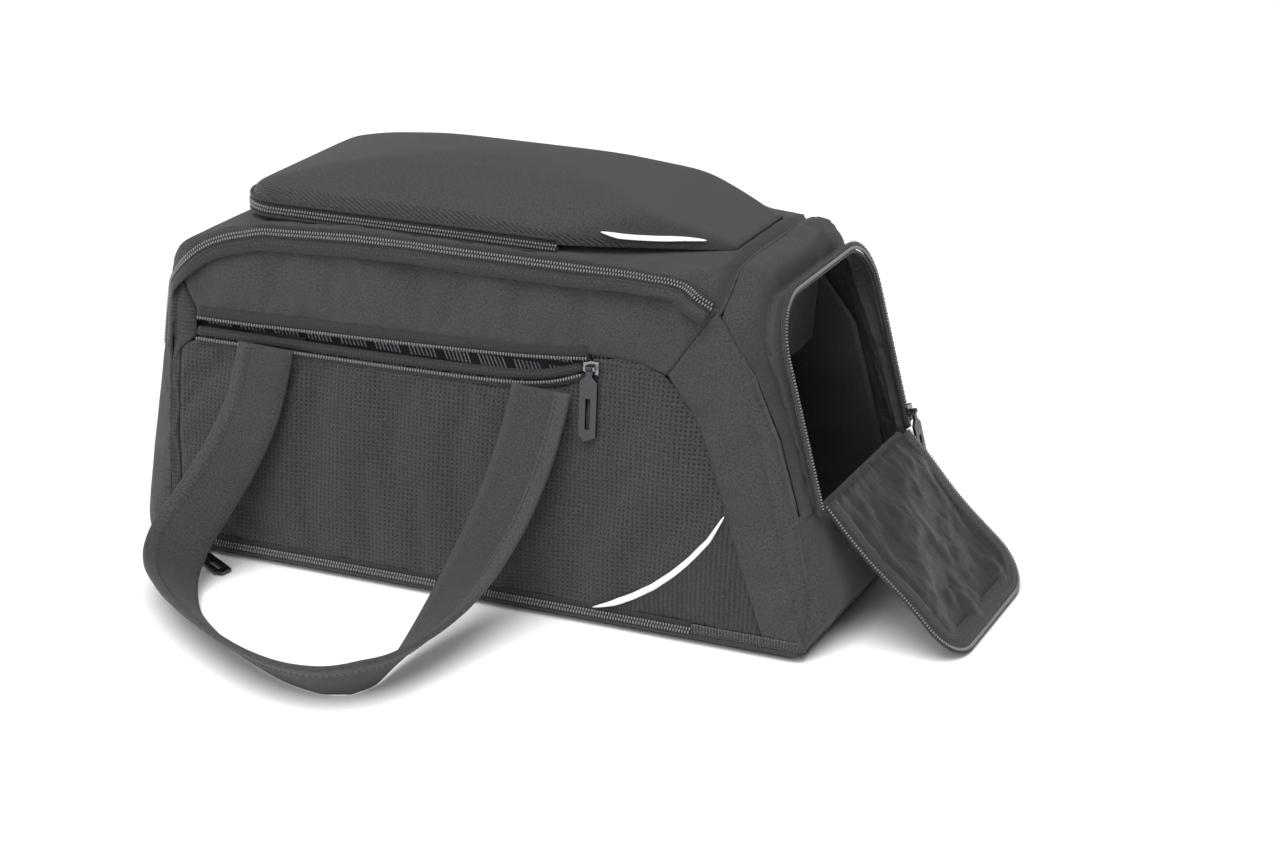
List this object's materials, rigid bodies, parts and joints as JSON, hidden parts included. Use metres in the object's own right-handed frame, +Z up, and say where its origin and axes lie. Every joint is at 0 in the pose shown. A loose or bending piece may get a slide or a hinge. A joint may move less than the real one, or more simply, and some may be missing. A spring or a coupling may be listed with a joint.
{
  "type": "weekender bag",
  "caption": "Soft weekender bag with a zipped lid, a zipped top pocket, side pockets that hide the handles, and a shoe compartment that opens at one end.",
  "frame": {"origin": "middle of the base, on the surface that the bag stands on", "axes": "+X along the bag towards the shoe compartment, -Y towards the loose handle and the base zip, +Z up"},
  "size_m": [0.6176, 0.6256, 0.293],
  "materials": {
    "plain_weave": "woven polyester, charcoal",
    "pocket_dobby": "dobby woven polyester with small dark floats",
    "zip_tape": "woven zip tape with nylon coil teeth",
    "webbing": "folded woven strap, stitched",
    "lining": "black satin lining",
    "base_fabric": "coated base cloth",
    "mesh": "spacer mesh",
    "reflective": "white reflective cord",
    "slider_metal": "gunmetal plated zinc casting",
    "stiffener": "polypropylene sheet"
  },
  "bodies": {
    "bag": {"near_yoke_panel": "plain_weave", "near_pocket_panel": "pocket_dobby", "near_end_side_panel": "plain_weave", "near_shoe_side_panel": "plain_weave", "near_pocket_zip_upper": "zip_tape", "near_pocket_zip_lower": "zip_tape", "near_pocket_lining": "lining", "near_handle_anchors": "webbing", "far_yoke_panel": "plain_weave", "far_pocket_panel": "pocket_dobby", "far_end_side_panel": "plain_weave", "far_shoe_side_panel": "plain_weave", "far_pocket_zip_upper": "zip_tape", "far_pocket_zip_lower": "zip_tape", "far_pocket_lining": "lining", "far_handle_anchors": "webbing", "base_panel": "base_fabric", "base_board": "stiffener", "base_zip": "zip_tape", "far_base_binding": "base_fabric", "base_mesh_strips": "mesh", "plain_end_panel": "plain_weave", "shoe_end_hood": "plain_weave", "shoe_end_zip": "zip_tape", "shoe_end_lower_panel": "plain_weave", "shoe_divider": "lining", "end_grab_handle": "webbing", "lid_zip_lower": "zip_tape", "side_reflective_trims": "reflective"},
    "lid": {"lid_panel": "plain_weave", "lid_zip_upper": "zip_tape", "lid_end_lip": "zip_tape", "top_pocket_panel": "plain_weave", "top_pocket_zip_lower": "zip_tape", "top_reflective_trims": "reflective"},
    "top_pocket_cover": {"top_pocket_cover": "plain_weave", "top_pocket_zip_upper": "zip_tape"},
    "shoe_flap": {"shoe_flap_panel": "plain_weave", "shoe_flap_zip": "zip_tape", "shoe_flap_lining": "lining"},
    "near_handle": {"near_handle": "webbing"},
    "far_handle": {"far_handle": "webbing"},
    "near_pocket_slider": {"near_pocket_slider": "slider_metal"},
    "near_pocket_pull": {"near_pocket_pull": "slider_metal"},
    "far_pocket_slider": {"far_pocket_slider": "slider_metal"},
    "far_pocket_pull": {"far_pocket_pull": "slider_metal"},
    "lid_front_slider": {"lid_front_slider": "slider_metal"},
    "lid_front_pull": {"lid_front_pull": "slider_metal"},
    "lid_back_slider": {"lid_back_slider": "slider_metal"},
    "lid_back_pull": {"lid_back_pull": "slider_metal"},
    "top_pocket_slider": {"top_pocket_slider": "slider_metal"},
    "top_pocket_pull": {"top_pocket_pull": "slider_metal"},
    "shoe_slider": {"shoe_slider": "slider_metal"},
    "shoe_pull": {"shoe_pull": "slider_metal"},
    "base_slider": {"base_slider": "slider_metal"},
    "base_pull": {"base_pull": "slider_metal"}
  },
  "joints": [
    {"name": "lid_fold", "type": "hinge", "parent": "bag", "child": "lid", "pos_m": [0.18, 0, 0.2545], "axis": [0, 1, 0], "range_deg": [0, 100]},
    {"name": "top_pocket_fold", "type": "hinge", "parent": "lid", "child": "top_pocket_cover", "pos_m": [0.06, 0, 0.2885], "axis": [0, 1, 0], "range_deg": [0, 80]},
    {"name": "shoe_flap_fold", "type": "hinge", "parent": "bag", "child": "shoe_flap", "pos_m": [0.25, 0, 0.098], "axis": [0, -1, 0], "range_deg": [0, 149.9]},
    {"name": "near_handle_swing", "type": "hinge", "parent": "bag", "child": "near_handle", "pos_m": [-0.0465, -0.1076, 0.165], "axis": [-1, 0, 0], "range_deg": [0, 120]},
    {"name": "far_handle_swing", "type": "hinge", "parent": "bag", "child": "far_handle", "pos_m": [-0.0465, 0.1076, 0.165], "axis": [1, 0, 0], "range_deg": [0, 120]},
    {"name": "near_pocket_slider_travel", "type": "slide", "parent": "bag", "child": "near_pocket_slider", "axis": [1, 0, 0], "range_m": [0, 0.014]},
    {"name": "far_pocket_slider_travel", "type": "slide", "parent": "bag", "child": "far_pocket_slider", "axis": [1, 0, 0], "range_m": [0, 0.014]},
    {"name": "lid_front_slider_travel", "type": "slide", "parent": "bag", "child": "lid_front_slider", "axis": [-1, 0, 0], "range_m": [0, 0.11]},
    {"name": "lid_back_slider_travel", "type": "slide", "parent": "bag", "child": "lid_back_slider", "axis": [1, 0, 0], "range_m": [0, 0.15]},
    {"name": "top_pocket_slider_travel", "type": "slide", "parent": "lid", "child": "top_pocket_slider", "axis": [-1, 0, 0], "range_m": [0, 0.19]},
    {"name": "shoe_slider_travel", "type": "slide", "parent": "bag", "child": "shoe_slider", "axis": [-0.2472, 0, 0.969], "range_m": [0, 0.075]},
    {"name": "base_slider_travel", "type": "slide", "parent": "bag", "child": "base_slider", "axis": [1, 0, 0], "range_m": [0, 0.36]},
    {"name": "near_pocket_pull_swing", "type": "hinge", "parent": "near_pocket_slider", "child": "near_pocket_pull", "pos_m": [0.093, -0.10438, 0.17949], "axis": [-1, 0, 0], "range_deg": [0, 140]},
    {"name": "far_pocket_pull_swing", "type": "hinge", "parent": "far_pocket_slider", "child": "far_pocket_pull", "pos_m": [0.093, 0.10438, 0.17949], "axis": [1, 0, 0], "range_deg": [0, 140]},
    {"name": "lid_front_pull_swing", "type": "hinge", "parent": "lid_front_slider", "child": "lid_front_pull", "pos_m": [-0.074, 0.09857, 0.24369], "axis": [1, 0, 0], "range_deg": [0, 150]},
    {"name": "lid_back_pull_swing", "type": "hinge", "parent": "lid_back_slider", "child": "lid_back_pull", "pos_m": [-0.046, 0.09857, 0.24369], "axis": [1, 0, 0], "range_deg": [0, 150]},
    {"name": "top_pocket_pull_swing", "type": "hinge", "parent": "top_pocket_slider", "child": "top_pocket_pull", "pos_m": [0.044, 0.0814, 0.2522], "axis": [0, 0, -1], "range_deg": [0, 150]},
    {"name": "shoe_pull_swing", "type": "hinge", "parent": "shoe_slider", "child": "shoe_pull", "pos_m": [0.25276, 0.0885, 0.10902], "axis": [0, -1, 0], "range_deg": [0, 120]},
    {"name": "base_pull_swing", "type": "hinge", "parent": "base_slider", "child": "base_pull", "pos_m": [-0.211, -0.11969, 0.01], "axis": [0, 0, -1], "range_deg": [0, 100]}
  ]
}
